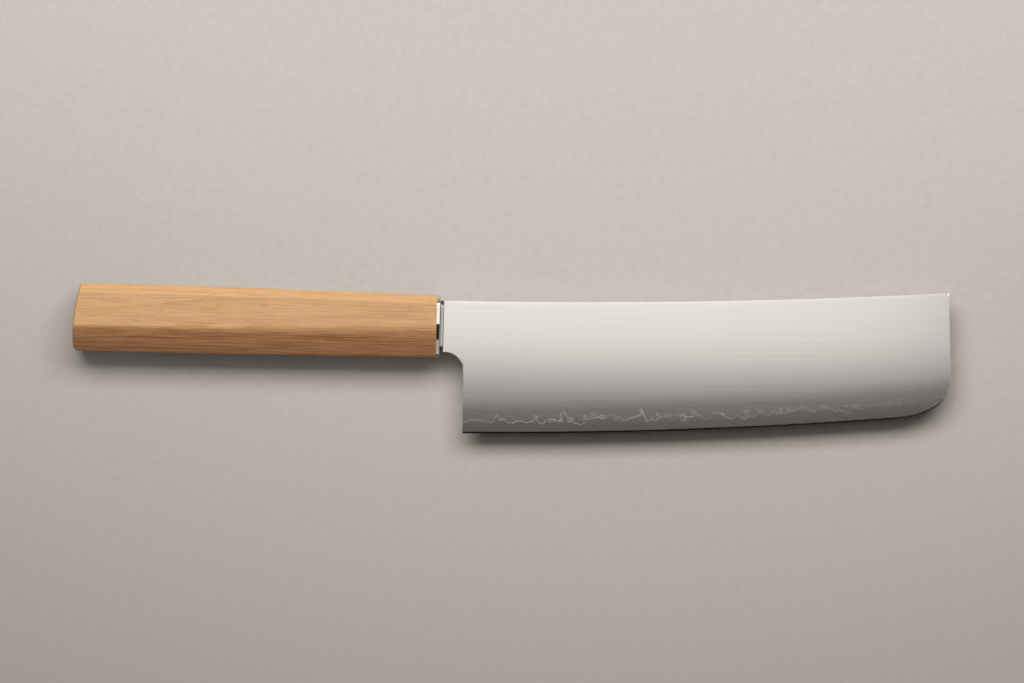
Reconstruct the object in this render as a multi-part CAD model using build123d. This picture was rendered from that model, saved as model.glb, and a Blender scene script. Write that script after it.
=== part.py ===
"""Nakiri, a Japanese vegetable knife, lying on its left side as on a table.

The blade is three layers of steel welded together: a hard core between two softer claddings. Its faces
are ground slightly convex, so the core shows as a band above the cutting edge. A flat tang, cut from the
same three layers, runs back through a collar and a ring into a mortise in the wooden handle, where resin
holds it.

Everything is drawn in the knife's own frame: the origin is where the handle's axis meets the blade's
shoulder, +X runs to the tip, +Y from the edge to the spine, and Z across the blade. The handle's own frame
shares that origin and is tilted by a degree or so. At the end the knife is set down with its lowest point
on Z = 0 and the middle of its length and height at the origin. Sizes are in millimetres.
"""

from build123d import *
import math
import os

# Blade outline
blade_length = 164.7  # from the heel's corner to the foremost point of the tip
edge_drop = 36.1  # handle axis down to the flat part of the edge
neck_height = 17.2  # spine to underside where the blade meets the collar
neck_flat = 0.2  # straight underside of the neck, in front of the shoulder
choil_radius = 6.6  # rounded inside corner between neck and heel
heel_lean = 1.5  # degrees by which the heel's back edge leans
spine_rise = 2.5  # how much higher the spine stands at the tip than at the neck
spine_sag = 1.5  # how far the spine's long curve hangs below its chord
front_lean = 1.45  # degrees by which the front edge leans back towards the spine
flat_length = 15.6  # straight part of the edge, from the heel's corner
belly_turn = 4.3  # degrees that the edge then turns through in one long, nearly flat curve
sweep_radius = 33.0  # first of the three curves that round the tip
sweep_turn = 24.5
corner_radius = 6.8  # the tightest of the three
corner_turn = 33.0
nose_radius = 20.0  # the last, which brings the edge upright

# Blade thickness
spine_thickness = 2.0  # at the neck
tip_thickness = 1.5  # at the front end of the spine
edge_thickness = 0.24  # just behind the sharpened bevel
face_bulge = 0.2  # how far each convex face stands proud of a straight wedge
spine_easing = 0.25  # radius of the spine's rubbed-down corners
core_thickness = 0.56
sharpening_angle = 15.0  # degrees on each side
bevel_reach = 0.45  # half thickness up to which the sharpened bevel can cut

# Tang
tang_length = 96.0  # behind the shoulder
tang_height = 10.5  # at the shoulder
tang_end_height = 6.0
tang_end_radius = 2.5
tang_thickness = 1.7

# Collar and ring
collar_length = 1.2
collar_thickness = 4.0
ring_length = 1.2
ring_easing = 0.15  # bevel round the ring's front rim
slot_clearance = 0.1  # between the tang and the slots of the collar and ring

# Handle
handle_tilt = 1.5  # degrees by which the handle rises towards the butt, from the line of the edge
handle_length = 122.6  # wood alone, from the ring to the end of the butt
butt_height = 22.8
butt_thickness = 18.6
ferrule_height = 20.7
ferrule_thickness = 17.0
middle_swell = 0.3  # how far the middle's top and underside stand proud of a straight taper
top_chamfer = 2.8  # narrow facets beside the spine
butt_crease_drop = 2.7  # axis down to the crease between a flat side and the belly
ferrule_crease_drop = 1.3
underside_width = 7.0  # narrow flat along the bottom
belly_bulge = 0.55  # how far the belly's two facets are rounded outwards
butt_facet_radius = 2.5  # softening of the long edges between facets
ferrule_facet_radius = 1.0
ferrule_crease_radius = 9.0
butt_radius = 52.0  # the butt's end is part of a ball of this radius
butt_middle_drop = 4.3  # axis down to the rearmost point of that ball
butt_easing = 0.5  # radius round the butt's rim
glue_gap = 1.0  # resin between the tang and the wood

# Overrun of cutting shapes past what they cut
overrun = 1.0

# Straight steps that the handle's slightly swollen length is built from
handle_steps = 4

# Places along the blade that follow from the sizes
neck_length = neck_flat + choil_radius / math.tan(math.radians(90 - heel_lean) / 2)
heel_slope = math.tan(math.radians(heel_lean))
heel_x = neck_length - (edge_drop - neck_height / 2) * heel_slope
tip_x = heel_x + blade_length
nose_turn = 90 - belly_turn - sweep_turn - corner_turn
spine_y = neck_height / 2
front_top_y = spine_y + spine_rise
spine_middle_y = spine_y + spine_rise / 2 - spine_sag
shoulder_shift = spine_y * math.sin(math.radians(handle_tilt))


def arc_run(radius, start_turn, turn):
    """How far forward an arc of the edge goes, as it turns on from start_turn."""
    return radius * (math.sin(math.radians(start_turn + turn)) - math.sin(math.radians(start_turn)))


def arc_rise(radius, start_turn, turn):
    """How far up an arc of the edge goes, as it turns on from start_turn."""
    return radius * (math.cos(math.radians(start_turn)) - math.cos(math.radians(start_turn + turn)))


tip_arcs = [
    (sweep_radius, belly_turn, sweep_turn),
    (corner_radius, belly_turn + sweep_turn, corner_turn),
    (nose_radius, belly_turn + sweep_turn + corner_turn, nose_turn),
]
belly_x = heel_x + flat_length
belly_run = blade_length - flat_length - sum(arc_run(*arc) for arc in tip_arcs)
belly_radius = belly_run / math.sin(math.radians(belly_turn))
nose_end_y = sum(arc_rise(*arc) for arc in [(belly_radius, 0, belly_turn), *tip_arcs]) - edge_drop
nose_start = (tip_x - arc_run(*tip_arcs[-1]), nose_end_y - arc_rise(*tip_arcs[-1]))
nose_heading = math.radians(90 - nose_turn)
nose_direction = (math.cos(nose_heading), math.sin(nose_heading))
front_top_x = tip_x - (front_top_y - nose_end_y) * math.tan(math.radians(front_lean))

# Places along the handle's own axis
ring_front = -collar_length
wood_front = ring_front - ring_length
butt_end = wood_front - handle_length
handle_frame = Rot(0, 0, -handle_tilt)


def blade_outline(inset):
    """The blade seen from its side, with the sharpened part of the edge moved inwards by inset.

    The edge is a straight run, then four arcs that each carry on where the last one stopped. The inset
    fades out round the corner, so that the nose is left unsharpened.
    """
    flat_y = inset - edge_drop
    flat = Line((heel_x + inset * heel_slope, flat_y), (belly_x, flat_y))
    belly = JernArc(flat @ 1, flat % 1, belly_radius - inset, belly_turn)
    sweep = JernArc(belly @ 1, belly % 1, sweep_radius - inset, sweep_turn)
    corner = TangentArc(sweep @ 1, nose_start, tangent=sweep % 1)
    nose = TangentArc(nose_start, (tip_x, nose_end_y), tangent=nose_direction)
    front = Line(nose @ 1, (front_top_x, front_top_y))
    spine_middle = ((shoulder_shift + front_top_x) / 2, spine_middle_y)
    spine = ThreePointArc(front @ 1, spine_middle, (shoulder_shift, spine_y))
    shoulder = Line(spine @ 1, (-shoulder_shift, -spine_y))
    neck = Line(shoulder @ 1, (neck_length, -spine_y))
    heel = Line(neck @ 1, flat @ 0)
    outline = make_face(Wire([flat, belly, sweep, corner, nose, front, spine, shoulder, neck, heel]))
    inside_corner = outline.vertices().sort_by_distance(neck @ 1)[0]
    return fillet(inside_corner, choil_radius)


def grind_section(x):
    """The blade's cross-section at x: two convex faces that close in from the spine to the edge."""
    share = x / front_top_x
    top = spine_y + spine_rise * share - 4 * spine_sag * share * (1 - share)
    past_flat = max(0, x - belly_x)
    bottom = belly_radius - edge_drop - math.sqrt(belly_radius**2 - past_flat**2)
    spine_half = (spine_thickness + (tip_thickness - spine_thickness) * share) / 2

    def half_thickness(y):
        down = (top - y) / (top - bottom)
        wedge = spine_half + (edge_thickness / 2 - spine_half) * down
        return wedge + 4 * face_bulge * down * (1 - down)

    heights = [top + overrun, (top + bottom) / 2, bottom - overrun]
    right = ThreePointArc(*((y, half_thickness(y)) for y in heights))
    left = ThreePointArc(*((y, -half_thickness(y)) for y in reversed(heights)))
    section = make_face(Wire([right, Line(right @ 1, left @ 0), left, Line(left @ 1, right @ 0)]))
    return Plane(origin=(x, 0, 0), x_dir=(0, 1, 0), z_dir=(1, 0, 0)) * section


def make_blade():
    """The ground and sharpened blade, without its tang, before it is divided into layers."""
    stations = [-overrun, belly_x / 2, belly_x, belly_x + belly_run / 3, belly_x + belly_run * 2 / 3]
    ground = loft([grind_section(x) for x in [*stations, tip_x + overrun]])

    whole = blade_outline(0)
    sharpened = blade_outline(bevel_reach / math.tan(math.radians(sharpening_angle)))
    outlines = [
        (-spine_thickness, sharpened),
        (-bevel_reach, sharpened),
        (0, whole),
        (bevel_reach, sharpened),
        (spine_thickness, sharpened),
    ]
    silhouette = loft([Pos(0, 0, z) * outline for z, outline in outlines], ruled=True)
    blade = ground & silhouette
    spine_edges = blade.edges().filter_by(lambda edge: edge.length > blade_length / 2).sort_by(Axis.Y)[-2:]
    return fillet(spine_edges, spine_easing)


def along_handle(x, face):
    """A face drawn across the handle, with its X up to the spine and its Y to the right, set at x."""
    return Plane(origin=(x, 0, 0), x_dir=(0, 1, 0), z_dir=(1, 0, 0)) * face


def handle_section(x):
    """The handle across its length: flat top, two chamfers, upright sides, rounded belly, flat bottom."""
    share = (x - wood_front) / (butt_end - wood_front)
    swell = 4 * middle_swell * share * (1 - share)
    half_height = (ferrule_height + (butt_height - ferrule_height) * share) / 2 + swell
    half_thickness = (ferrule_thickness + (butt_thickness - ferrule_thickness) * share) / 2
    crease_drop = ferrule_crease_drop + (butt_crease_drop - ferrule_crease_drop) * share
    facet_radius = ferrule_facet_radius + (butt_facet_radius - ferrule_facet_radius) * share
    crease_radius = ferrule_crease_radius + (butt_facet_radius - ferrule_crease_radius) * share

    top = (half_height, half_thickness - top_chamfer)
    shoulder = (half_height - top_chamfer, half_thickness)
    crease = (-crease_drop, half_thickness)
    bottom = (-half_height, underside_width / 2)
    right = [Line(top, shoulder), Line(shoulder, crease), SagittaArc(crease, bottom, -belly_bulge)]
    left = [edge.mirror(Plane.XZ) for edge in right]
    ends = [Line((half_height, -top[1]), top), Line(bottom, (-half_height, -bottom[1]))]
    face = make_face(Wire([*right, *left, *ends]))
    creases = face.vertices().filter_by(lambda vertex: abs(vertex.X + crease_drop) < overrun)
    face = fillet(creases, crease_radius)
    upper_corners = face.vertices().filter_by(lambda vertex: vertex.X > half_height - top_chamfer - overrun)
    face = fillet(upper_corners, facet_radius)
    lower_corners = face.vertices().group_by(Axis.X)[0]
    face = fillet(lower_corners, facet_radius)
    return along_handle(x, face)


def extrude_back(face, length):
    """A face across the handle, carried straight back towards the butt."""
    return extrude(face, length, dir=(-1, 0, 0))


def make_tang():
    """Flat, tapering tang with a rounded end, behind the blade's shoulder."""
    front_half, end_half = tang_height / 2, tang_end_height / 2
    corners = [(0, front_half), (0, -front_half), (-tang_length, -end_half), (-tang_length, end_half)]
    face = make_face(Polyline(*corners, close=True))
    face = fillet(face.vertices().group_by(Axis.X)[0], tang_end_radius)
    return extrude(face, tang_thickness / 2, both=True)


def make_slot(x, length):
    """The opening that the tang passes through in a collar or ring whose front is at x."""
    face = Rectangle(tang_height + 2 * slot_clearance, tang_thickness + 2 * slot_clearance)
    return extrude_back(along_handle(x, face), length)


def make_collar():
    """Round-ended collar, as tall as the blade's neck, that the blade's shoulder stands against."""
    body = extrude_back(along_handle(0, SlotOverall(neck_height, collar_thickness)), collar_length)
    return body - make_slot(0, collar_length)


def make_ring():
    """Thin end ring, flush with the wood behind it."""
    body = extrude_back(Pos(ring_front - wood_front, 0, 0) * handle_section(wood_front), ring_length)
    body = chamfer(body.faces().sort_by(Axis.X)[-1].edges(), ring_easing)
    return body - make_slot(ring_front, ring_length)


def make_mortise():
    """The round-ended hole in the wood, a glue gap larger than the tang on every side."""
    face = SlotOverall(tang_height + 2 * glue_gap, tang_thickness + 2 * glue_gap)
    return extrude_back(along_handle(wood_front, face), tang_length + glue_gap + wood_front)


def make_handle():
    """One block of wood, planed to long facets, with a rounded butt, before its mortise is cut."""
    step_length = (handle_length + overrun) / handle_steps
    places = [wood_front - step_length * step for step in range(handle_steps + 1)]
    blank = loft([handle_section(x) for x in places], ruled=True)
    waste = Pos(butt_end, 0, 0) * Box(butt_height, 2 * butt_height, 2 * butt_thickness)
    waste -= Pos(butt_end + butt_radius, -butt_middle_drop, 0) * Sphere(butt_radius)
    wood = blank - waste
    end = wood.faces().sort_by(Axis.X)[0]
    return fillet(end.edges(), butt_easing)


def split_layers(blade):
    """The blade and tang divided into the right cladding, the core and the left cladding."""
    upper_joint = Plane.XY.offset(core_thickness / 2)
    lower_joint = Plane.XY.offset(-core_thickness / 2)
    right = split(blade, upper_joint, Keep.TOP)
    core = split(split(blade, upper_joint, Keep.BOTTOM), lower_joint, Keep.TOP)
    left = split(blade, lower_joint, Keep.BOTTOM)
    return right, core, left


tang = make_tang()
mortise = make_mortise()
right, core, left = split_layers(make_blade() + handle_frame * tang)

pieces = {
    "core_steel": core,
    "cladding_right": right,
    "cladding_left": left,
    "root_collar": handle_frame * make_collar(),
    "handle_ring": handle_frame * make_ring(),
    "handle_body": handle_frame * (make_handle() - mortise),
    "tang_adhesive": handle_frame * (mortise - tang),
}

box = Compound([solid for piece in pieces.values() for solid in piece.solids()]).bounding_box()
set_down = Pos(-(box.min.X + box.max.X) / 2, -(box.min.Y + box.max.Y) / 2, -box.min.Z)

os.makedirs("parts", exist_ok=True)
for name, piece in pieces.items():
    export_step(set_down * piece, "parts/" + name + ".step")
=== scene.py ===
"""The looks of a nakiri, a Japanese vegetable knife, lying on its left side and seen from straight above.

The blade's three layers, the collar, the ring and the wooden handle are surfaces worked out from the
knife's own sizes. Each takes the place of its solid in the frame. The resin inside the handle stays the
frame's own solid.

Sizes are in millimetres in the knife's own frame, as its maker would give them: the origin is where the
handle's axis meets the blade's shoulder, +X runs to the tip, +Y from the edge to the spine, and Z across
the blade. Only the lamps and the floor's half width are in metres.
"""

import math

import bmesh
import bpy
import numpy as np
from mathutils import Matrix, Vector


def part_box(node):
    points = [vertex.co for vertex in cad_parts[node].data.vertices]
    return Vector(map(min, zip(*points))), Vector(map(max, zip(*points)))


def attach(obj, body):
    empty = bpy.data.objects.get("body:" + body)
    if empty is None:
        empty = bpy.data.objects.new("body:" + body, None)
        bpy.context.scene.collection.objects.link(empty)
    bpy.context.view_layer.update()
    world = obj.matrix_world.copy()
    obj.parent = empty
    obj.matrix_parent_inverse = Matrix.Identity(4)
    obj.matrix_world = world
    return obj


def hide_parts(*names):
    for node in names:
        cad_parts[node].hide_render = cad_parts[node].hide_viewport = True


MM = 0.001

# Blade outline
BLADE_LENGTH = 164.7
EDGE_DROP = 36.1
NECK_HEIGHT = 17.2
NECK_FLAT = 0.2
CHOIL_RADIUS = 6.6
HEEL_LEAN = math.radians(1.5)
SPINE_RISE = 2.5
SPINE_SAG = 1.5
FRONT_LEAN = math.radians(1.45)
FLAT_LENGTH = 15.6
BELLY_TURN = math.radians(4.3)
SWEEP_RADIUS = 33.0
SWEEP_TURN = math.radians(24.5)
CORNER_RADIUS = 6.8
CORNER_TURN = math.radians(33.0)
NOSE_RADIUS = 20.0

# Blade thickness
SPINE_HALF = 1.0
TIP_HALF = 0.75
EDGE_HALF = 0.12
FACE_BULGE = 0.2
SPINE_EASING = 0.06
CORE_HALF = 0.28
SHARPENING = math.radians(15.0)

# Tang
TANG_LENGTH = 96.0
TANG_HALF_HEIGHT = 5.25
TANG_END_HALF_HEIGHT = 3.0
TANG_END_RADIUS = 2.5
TANG_HALF = 0.85

# Collar and ring
COLLAR_LENGTH = 1.2
COLLAR_THICKNESS = 4.0
COLLAR_FRONT_EASING = 0.25
COLLAR_BACK_EASING = 0.1
RING_LENGTH = 1.2
RING_FRONT_EASING = 0.15
RING_BACK_EASING = 0.05
SLOT_CLEARANCE = 0.1

# Handle
HANDLE_TILT = math.radians(1.5)
HANDLE_LENGTH = 122.6
BUTT_HEIGHT = 22.8
BUTT_THICKNESS = 18.6
FERRULE_HEIGHT = 20.7
FERRULE_THICKNESS = 17.0
MIDDLE_SWELL = 0.3
TOP_CHAMFER = 2.8
BUTT_CREASE_DROP = 2.7
FERRULE_CREASE_DROP = 0.6
CREASE_BOW = 0.6
UNDERSIDE_WIDTH = 7.0
BELLY_BULGE = 0.55
FACET_SOFTNESS = 0.3
BUTT_CREASE_SOFTNESS = 0.5
FERRULE_CREASE_SOFTNESS = 1.6
BUTT_RADIUS = 52.0
BUTT_MIDDLE_DROP = 4.3
BUTT_EASING = 0.5
BUTT_FOOT_EASING = 1.8
FOOT_STEEPNESS = 4
GLUE_GAP = 1.0

# Columns of the blade's grid along each stretch of its lower outline
TANG_END_COLUMNS = 8
TANG_COLUMNS = 12
CHOIL_COLUMNS = 18
HEEL_COLUMNS = 19
FLAT_COLUMNS = 14
BELLY_COLUMNS = 90
SWEEP_COLUMNS = 30
CORNER_COLUMNS = 30
NOSE_COLUMNS = 26
FRONT_COLUMNS = 20

# How far past the heel's corner, and before the belly's end, the columns that start there reach the spine
HEEL_COLUMN_LEAN = 4.0
BELLY_COLUMN_LEAN = 3.0

# Rows of the blade's grid: round the spine, down the face, to the cladding's end, on the core and on the
# bevel, with the greatest share of the face that those round the spine may take, and how near to each
# other two rows lie that keep a rim crisp
RUB_ROWS = 13
FACE_ROWS = 30
CLADDING_END_ROWS = 4
CORE_ROWS = 5
BEVEL_ROWS = 4
GREATEST_RUB_SHARE = 0.3
SEAM_ROW = 0.01

# Points along each stretch of half the handle's outline, and round the collar, with how much higher than
# wide the oval is that sets out the rays to the collar's points
TOP_POINTS = 7
FACET_CORNER_POINTS = 7
SIDE_POINTS = 8
CREASE_POINTS = 9
BELLY_POINTS = 14
UNDERSIDE_POINTS = 6
COLLAR_POINTS = 180
RAY_OVAL_STRETCH = 3

# Rings over the butt's end, round its rim, along the handle and round each rim of a band
BUTT_RINGS = 20
BUTT_RIM_RINGS = 8
HANDLE_RINGS = 30
BAND_RIM_RINGS = 7

# Turns between two faces from which the rim between them is crisp
BLADE_CRISP_TURN = math.radians(9)
BAND_CRISP_TURN = math.radians(20)
HANDLE_CRISP_TURN = math.radians(25)

# Working limits: points nearer than this are merged, where there is no bevel it lies this far out, the
# least share of the bevel's width, how often a search halves, and a length that stands in for nought
MERGE_DISTANCE = 0.002
NO_BEVEL = 100.0
LEAST_FADE = 0.01
HALVINGS = 40
TINY = 1e-9

# Photograph
PHOTO_WIDTH = 1024
PHOTO_HEIGHT = 683
PIXEL = 0.33722
SHOULDER_PIXEL = (443.7, 326.3)
LENS = 200.0
SENSOR = 36.0

# Places that follow from the sizes
SPINE_Y = NECK_HEIGHT / 2
CHOIL_LEG = CHOIL_RADIUS / math.tan((math.pi / 2 - HEEL_LEAN) / 2)
NECK_LENGTH = NECK_FLAT + CHOIL_LEG
HEEL_X = NECK_LENGTH - (EDGE_DROP - SPINE_Y) * math.tan(HEEL_LEAN)
TIP_X = HEEL_X + BLADE_LENGTH
BELLY_X = HEEL_X + FLAT_LENGTH
NOSE_TURN = math.pi / 2 - BELLY_TURN - SWEEP_TURN - CORNER_TURN
TURNS = np.array([BELLY_TURN, SWEEP_TURN, CORNER_TURN, NOSE_TURN])
HEADINGS = np.concatenate([[0], np.cumsum(TURNS)])
TIP_RUN = ([SWEEP_RADIUS, CORNER_RADIUS, NOSE_RADIUS] * np.diff(np.sin(HEADINGS[1:]))).sum()
BELLY_RADIUS = (BLADE_LENGTH - FLAT_LENGTH - TIP_RUN) / math.sin(BELLY_TURN)
BELLY_END_X = BELLY_X + BELLY_RADIUS * math.sin(BELLY_TURN)
RADII = np.array([BELLY_RADIUS, SWEEP_RADIUS, CORNER_RADIUS, NOSE_RADIUS])
NOSE_END_Y = -EDGE_DROP - (RADII * np.diff(np.cos(HEADINGS))).sum()
FRONT_TOP_Y = SPINE_Y + SPINE_RISE
FRONT_TOP_X = TIP_X - (FRONT_TOP_Y - NOSE_END_Y) * math.tan(FRONT_LEAN)
SHOULDER_SHIFT = SPINE_Y * math.sin(HANDLE_TILT)
RING_FRONT = -COLLAR_LENGTH
WOOD_FRONT = RING_FRONT - RING_LENGTH
BUTT_END = WOOD_FRONT - HANDLE_LENGTH

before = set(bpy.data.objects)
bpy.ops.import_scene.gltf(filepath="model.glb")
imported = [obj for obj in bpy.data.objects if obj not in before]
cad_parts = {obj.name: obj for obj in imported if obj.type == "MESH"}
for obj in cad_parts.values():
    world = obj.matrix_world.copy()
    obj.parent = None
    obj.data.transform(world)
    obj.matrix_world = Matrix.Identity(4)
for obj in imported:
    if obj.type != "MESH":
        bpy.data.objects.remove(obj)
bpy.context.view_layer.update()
core_low, core_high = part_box("core_steel")
KNIFE_ORIGIN = np.array([
    core_high.x / MM - TIP_X,
    core_low.y / MM + EDGE_DROP,
    (core_low.z + core_high.z) / 2 / MM,
])


# Meshes

def finished_piece(name, points, quads, material, nodes, crisp_turn):
    """A closed mesh from points in the knife's frame, set where the frame's knife lies, on the root."""
    mesh = bpy.data.meshes.new(name)
    places = (points + KNIFE_ORIGIN) * MM
    mesh.from_pydata(places.tolist(), [], quads.tolist())
    shell = bmesh.new()
    shell.from_mesh(mesh)
    bmesh.ops.remove_doubles(shell, verts=shell.verts, dist=MERGE_DISTANCE * MM)
    bmesh.ops.recalc_face_normals(shell, faces=shell.faces)
    shell.to_mesh(mesh)
    shell.free()
    mesh.polygons.foreach_set("use_smooth", np.ones(len(mesh.polygons), bool))
    mesh.set_sharp_from_angle(angle=crisp_turn)
    mesh.materials.append(material)
    piece = bpy.data.objects.new(name, mesh)
    bpy.context.scene.collection.objects.link(piece)
    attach(piece, "root")
    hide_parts(*nodes)
    return piece


def grid_quads(number):
    """Corner numbers of the quads between neighbours in a grid of point numbers."""
    corners = [number[:-1, :-1], number[:-1, 1:], number[1:, 1:], number[1:, :-1]]
    return np.stack(corners, axis=-1).reshape(-1, 4)


def plate_mesh(places, upper, lower):
    """Points and quads of a closed plate: one grid of places raised to two heights and walled round."""
    count = upper.size
    points = np.concatenate([
        np.dstack([places, upper]).reshape(-1, 3),
        np.dstack([places, lower]).reshape(-1, 3),
    ])
    number = np.arange(count).reshape(upper.shape)
    rim = np.concatenate([number[0, :-1], number[:-1, -1], number[-1, :0:-1], number[:0:-1, 0]])
    following = np.roll(rim, -1)
    wall = np.stack([rim, following, following + count, rim + count], axis=-1)
    return points, np.concatenate([grid_quads(number), grid_quads(number + count)[:, ::-1], wall])


def ring_mesh(rings, closed):
    """Points and quads of a skin through rings of equally many points, closed round each ring.

    When closed is true the last ring also joins the first, as on a band. Otherwise both end rings are
    single points.
    """
    count, size, _ = rings.shape
    number = np.arange(count * size).reshape(count, size)
    if closed:
        number = np.concatenate([number, number[:1]])
    number = np.concatenate([number, number[:, :1]], axis=1)
    return rings.reshape(-1, 3), grid_quads(number)


def steps(start, end, count):
    """Evenly spaced values from start up to, but not including, end."""
    return start + (end - start) * np.arange(count) / count


def between(start, end, share):
    """The value this share of the way from start to end."""
    return start + (end - start) * share


def tilted(points):
    """Points given along the handle's own axis, turned into the knife's frame."""
    cosine = math.cos(HANDLE_TILT)
    sine = math.sin(HANDLE_TILT)
    turned = points.copy()
    turned[..., 0] = points[..., 0] * cosine + points[..., 1] * sine
    turned[..., 1] = points[..., 1] * cosine - points[..., 0] * sine
    return turned


# Blade

def spine_height(x):
    """Height of the spine at x: a shallow curve that sags below the chord between its ends."""
    middle_x = (SHOULDER_SHIFT + FRONT_TOP_X) / 2
    half = (FRONT_TOP_X - SHOULDER_SHIFT) / 2
    chord = SPINE_Y + SPINE_RISE * (x - SHOULDER_SHIFT) / (2 * half)
    return chord - SPINE_SAG * (1 - ((x - middle_x) / half) ** 2)


def ground_half(x, y):
    """Half thickness of the ground faces: a wedge from spine to edge, bulged by a parabola."""
    share = x / FRONT_TOP_X
    top = SPINE_Y + SPINE_RISE * share - 4 * SPINE_SAG * share * (1 - share)
    past_flat = np.maximum(0, x - BELLY_X)
    bottom = BELLY_RADIUS - EDGE_DROP - np.sqrt(BELLY_RADIUS**2 - past_flat**2)
    down = (top - y) / (top - bottom)
    spine_half = between(SPINE_HALF, TIP_HALF, share)
    return between(spine_half, EDGE_HALF, down) + 4 * FACE_BULGE * down * (1 - down)


def sharpened_edge():
    """The cutting edge from the heel's corner round the tip to the upright front.

    Gives its points, the normals that point into the blade, and how much of the full width the sharpened
    bevel has at each: all of it up to the corner, where it fades out. The edge is a straight run and four
    arcs, each set out from its heading and its radius.
    """
    flat_x = steps(HEEL_X, BELLY_X, FLAT_COLUMNS)
    points = [np.column_stack([flat_x, np.full(FLAT_COLUMNS, -EDGE_DROP)])]
    normals = [np.tile([0.0, 1.0], (FLAT_COLUMNS, 1))]
    full = np.ones(FLAT_COLUMNS + BELLY_COLUMNS + SWEEP_COLUMNS)
    fades = np.concatenate([full, 1 - steps(0, 1, CORNER_COLUMNS) ** 2, np.zeros(NOSE_COLUMNS)])
    start = np.array([BELLY_X, -EDGE_DROP])
    counts = [BELLY_COLUMNS, SWEEP_COLUMNS, CORNER_COLUMNS, NOSE_COLUMNS]
    for radius, heading, turn, count in zip(RADII, HEADINGS, TURNS, counts):
        headings = np.append(steps(heading, heading + turn, count), heading + turn)
        inwards = np.column_stack([-np.sin(headings), np.cos(headings)])
        arc = start + radius * (inwards[0] - inwards)
        points.append(arc[:-1])
        normals.append(inwards[:-1])
        start = arc[-1]
    return np.concatenate(points), np.concatenate(normals), fades


def tang_columns():
    """Upper and lower ends of the columns that cross the tang: a rounded end, then a straight taper."""
    turn = steps(0, math.pi / 2, TANG_END_COLUMNS)
    end_x = -TANG_LENGTH + TANG_END_RADIUS * (1 - np.cos(turn))
    end_half = TANG_END_HALF_HEIGHT - TANG_END_RADIUS * (1 - np.sin(turn))
    straight = np.append(steps(-TANG_LENGTH + TANG_END_RADIUS, 0, TANG_COLUMNS), 0)
    straight_half = between(TANG_HALF_HEIGHT, TANG_END_HALF_HEIGHT, straight / -TANG_LENGTH)
    x = np.concatenate([end_x, straight])
    half = np.concatenate([end_half, straight_half])
    return tilted(np.column_stack([x, half])), tilted(np.column_stack([x, -half]))


def neck_and_heel():
    """The lower outline from the shoulder round the hollow below the neck, and then to the heel."""
    choil_centre = np.array([NECK_FLAT, -SPINE_Y - CHOIL_RADIUS])
    angles = np.linspace(math.pi / 2, -HEEL_LEAN, CHOIL_COLUMNS)
    choil = choil_centre + CHOIL_RADIUS * np.column_stack([np.cos(angles), np.sin(angles)])
    neck = np.vstack([[-SHOULDER_SHIFT, -SPINE_Y], choil])
    heel_corner = np.array([HEEL_X, -EDGE_DROP])
    shares = 1 - (1 - np.arange(1, HEEL_COLUMNS) / HEEL_COLUMNS) ** 2
    return neck, choil[-1] + np.outer(shares, heel_corner - choil[-1])


def blade_columns():
    """Straight columns that cross the blade and its tang from the upper outline to the lower one.

    Gives their upper and lower ends, the point and normal that the bevel facing each column is measured
    from, how much of the bevel's full width it has there, and which columns are the tang's.
    """
    tang_top, tang_bottom = tang_columns()
    neck, heel = neck_and_heel()
    edge, edge_normals, edge_fades = sharpened_edge()
    nose_end = np.array([TIP_X, NOSE_END_Y])
    front_top = np.array([FRONT_TOP_X, FRONT_TOP_Y])
    front = nose_end + np.outer(np.linspace(0, 1, FRONT_COLUMNS), front_top - nose_end)

    bottom = np.concatenate([tang_bottom, neck, heel, edge, front])
    before_heel = len(tang_bottom) + len(neck)
    before_edge = before_heel + len(heel)
    facing = bottom.copy()
    facing[before_heel:before_edge] = [HEEL_X, -EDGE_DROP]
    upwards = np.tile([0.0, 1.0], (before_edge, 1))
    backwards = np.tile([-1.0, 0.0], (FRONT_COLUMNS, 1))
    normals = np.concatenate([upwards, edge_normals, backwards])
    no_bevel = np.zeros(before_heel)
    full_bevel = np.ones(len(heel))
    fades = np.concatenate([no_bevel, full_bevel, edge_fades, np.zeros(FRONT_COLUMNS)])
    is_tang = np.arange(len(bottom)) < len(tang_bottom)

    heel_end = HEEL_X + HEEL_COLUMN_LEAN
    belly_end = BELLY_END_X - BELLY_COLUMN_LEAN
    over_heel = steps(SHOULDER_SHIFT, heel_end, len(neck) + len(heel))
    over_belly = steps(heel_end, belly_end, FLAT_COLUMNS + BELLY_COLUMNS)
    tip_columns = SWEEP_COLUMNS + CORNER_COLUMNS + NOSE_COLUMNS + FRONT_COLUMNS
    over_tip = np.linspace(belly_end, FRONT_TOP_X, tip_columns)
    top_x = np.concatenate([over_heel, over_belly, over_tip])
    top = np.concatenate([tang_top, np.column_stack([top_x, spine_height(top_x)])])
    return top, bottom, facing, normals, fades, is_tang


def blade_half(places, facing, normals, fades, is_tang):
    """Half thickness at a place on each column, and how far outside the ground face the bevel lies."""
    ground = np.where(is_tang, TANG_HALF, ground_half(places[..., 0], places[..., 1]))
    away = np.maximum(((places - facing) * normals).sum(axis=-1), 0)
    bevel = np.where(fades > 0, away * math.tan(SHARPENING) / np.maximum(fades, LEAST_FADE), NO_BEVEL)
    return np.minimum(ground, bevel), bevel - ground


def crossing(measure):
    """The share down each column where a falling measure gets to nought, or 1 where it never does.

    The stretch that holds it is halved again and again.
    """
    count = measure(0.0).size
    low = np.zeros(count)
    high = np.ones(count)
    for _ in range(HALVINGS):
        middle = (low + high) / 2
        above = measure(middle) > 0
        low = np.where(above, middle, low)
        high = np.where(above, high, middle)
    return np.where(measure(np.ones(count)) >= 0, 1.0, low)


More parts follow.
